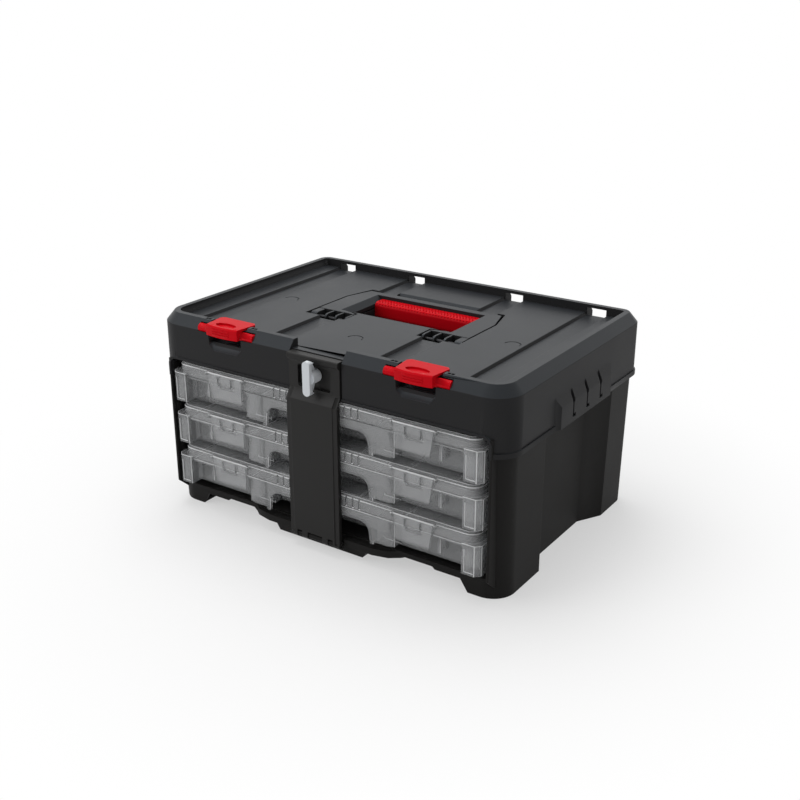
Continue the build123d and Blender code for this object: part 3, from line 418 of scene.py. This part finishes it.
cutters = bmesh.new()
grip_face = in_mm(cad_high[0])
clear_of_face = grip_face + 1.0
groove_floor, slot_floor = grip_face - 1.5, grip_face - 2.7
groove_bottom, groove_top, half_groove = 178, 193, 1.1
slot_bottom, slot_reach, overlap = 174.5, 6, 0.01
notch_places = (-20, 14, 48)
for y in notch_places:
    front = y - half_groove
    for side in (-1, 1):
        left, right = across(groove_floor, clear_of_face, side)
        add_box(cutters, (left, front, groove_bottom), (right, y + half_groove, groove_top))
        left, right = across(slot_floor, clear_of_face, side)
        add_box(cutters, (left, front, slot_bottom), (right, y + slot_reach, groove_bottom + overlap))
print("grooves and slots", len(cutters.faces) // 6)

# %% Holes beside the latches
rim_top = in_mm(cad_high[2])
clear_of_rim, hole_floor = rim_top + 1.0, rim_top - 2.5
hole_y, half_hole = -144.5, 1.7
hole_offsets = (-37, -32.5, 32.5, 37)
for latch in ("stack_latch_left", "stack_latch_right"):
    latch_low, latch_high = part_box(latch)
    latch_x = in_mm((latch_low[0] + latch_high[0]) / 2)
    for offset in hole_offsets:
        x = latch_x + offset
        add_box(cutters, (x - half_hole, hole_y - half_hole, hole_floor),
                (x + half_hole, hole_y + half_hole, clear_of_rim))
print("grooves, slots and holes", len(cutters.faces) // 6)


# %% Cut the cover
def carve(name, cutters):
    blank_mesh = bpy.data.meshes.new(name + "_blank")
    blank_shape = bmesh.new()
    blank_shape.from_mesh(nodes[name].data)
    bmesh.ops.remove_doubles(blank_shape, verts=blank_shape.verts, dist=merge_distance)
    blank_shape.to_mesh(blank_mesh)
    blank_shape.free()
    cutter_mesh = bpy.data.meshes.new("cutters")
    cutters.to_mesh(cutter_mesh)
    cutters.free()
    blank = bpy.data.objects.new(name + "_blank", blank_mesh)
    tool = bpy.data.objects.new("cutters", cutter_mesh)
    for each in (blank, tool):
        bpy.context.collection.objects.link(each)
    cut = blank.modifiers.new("cut", "BOOLEAN")
    cut.operation = "DIFFERENCE"
    cut.solver = "EXACT"
    cut.use_self = True
    cut.object = tool
    finished = blank.evaluated_get(bpy.context.evaluated_depsgraph_get())
    carved = bpy.data.meshes.new_from_object(finished)
    for each in (blank, tool):
        bpy.data.objects.remove(each)
    return carved


cover_shape = carve("top_cover", cutters)
print("cover with grooves and holes", len(cover_shape.polygons), "faces")

# %% [markdown]
# ## Edges of the bay
# The body's wall turns forward on both sides of the bay, so the organisers slide between two thin upright
# edges. Each edge is a bar with its back sunk in the wall of the body, its foot cut on a slope and its
# corners rounded.

# %% Edges of the bay
edge_inside, edge_outside = 220.3, 223.5
edge_front, edge_back = -158, -142
edge_foot, edge_head = 14, 190.5
foot_slope = 14
edge_corner = 0.9
bay_edges = bmesh.new()
for side in (-1, 1):
    left, right = across(edge_inside, edge_outside, side)
    add_box(bay_edges, (left, edge_front, edge_foot), (right, edge_back, edge_head))
middle_y = (edge_front + edge_back) / 2 * mm
middle_z = (edge_foot + edge_head) / 2 * mm
front_feet = [v for v in bay_edges.verts if v.co.y < middle_y and v.co.z < middle_z]
bmesh.ops.translate(bay_edges, verts=front_feet, vec=(0, 0, foot_slope * mm))
bmesh.ops.bevel(bay_edges, geom=bay_edges.edges[:], offset=edge_corner * mm, offset_type="OFFSET",
                segments=3, profile=0.5, affect="EDGES", material=-1)
edge_piece = add_piece("bay_edges", bay_edges, "body_plastic", nodes["body_shell"]["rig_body"])
print("bay edges", len(edge_piece.data.polygons), "faces")

# %% [markdown]
# ## Deck and knob
# The top of the cover and of the handle has a deeper grain than the walls. Faces that look up take the
# deck's finish, which also carries a painted sheen, a stronger and cooler specular for the light that falls
# on the top.
# The knob is held between two fingers, and its edges are much rounder.

# %% Deck and knob
knob_round = 1.5 * mm


def looks_up(face):
    """The second finish of a piece, with the painted sheen, for faces that look up, and the first for the
    others.
    """
    return 1 if face.normal.z > 0.5 else 0


for name, shape in (("top_cover", cover_shape), ("handle_frame", None)):
    piece = soften(name, "cover_plastic", case_round, [deck_grain_and_painted_sheen], looks_up, shape=shape)
    print(name, len(piece.data.polygons), "faces")
knob = soften("lock_knob", "knob_plastic", knob_round, segments=4)
print("lock_knob", len(knob.data.polygons), "faces")

# %% [markdown]
# ## Organisers
# The organisers are clear, and clear plastic shows its edges more than its walls, because light runs along
# inside the sheet. Here that light is painted: edge faces that look up take a painted highlight, a bright
# finish, and those that look down a painted shade, a dark one, for the black bay seen through them. Upright
# edges take the painted highlight on the tray's right-hand sides and the painted shade elsewhere.

# %% Organisers
organiser_numbers = (1, 2, 3)
edge_round = 0.55 * mm
# Slots of an organiser piece: its clear wall, a painted highlight and a painted shade.
wall, bright, dark = 0, 1, 2


# A narrow edge strip takes the painted highlight or the painted shade by the way it faces. Wider faces stay
# clear wall.
def wall_or_painted_edge(face, upright):
    strip_width = face.calc_area() / max(edge.calc_length() for edge in face.edges)
    if strip_width > edge_round:
        return wall
    if abs(face.normal.z) <= 0.1:
        return upright if face.normal.x > 0 else dark
    return bright if face.normal.z > 0 else dark


def tray_painted_edges(face):
    return wall_or_painted_edge(face, bright)


def cover_painted_edges(face):
    return wall_or_painted_edge(face, dark)


for number in organiser_numbers:
    for part in ("tray", "lid", "latch_left", "latch_right", "dividers"):
        choose = tray_painted_edges if part == "tray" else cover_painted_edges
        piece = soften(f"organiser_{number}_{part}", "clear_plastic", edge_round,
                       [clear_painted_highlight, clear_shade], choose)
        counts = [sum(f.material_index == i for f in piece.data.polygons) for i in (wall, bright, dark)]
        print(piece.name, "walls, bright edges, dark edges:", counts)

# %% [markdown]
# ## Pins
# The pins and the cam's screw are turned steel and stay as the CAD has them. The handle's pins are
# blackened, the others bright.

# %% Pins
pins = ["handle_pins", "lock_bar_pin", "lock_cam_screw"]
pins += [f"organiser_{number}_lid_pins" for number in organiser_numbers]
for name in pins:
    steel = dark_steel if name == "handle_pins" else finishes["pin_steel"]
    nodes[name].data.materials.clear()
    nodes[name].data.materials.append(steel)
print("pins", len(pins))
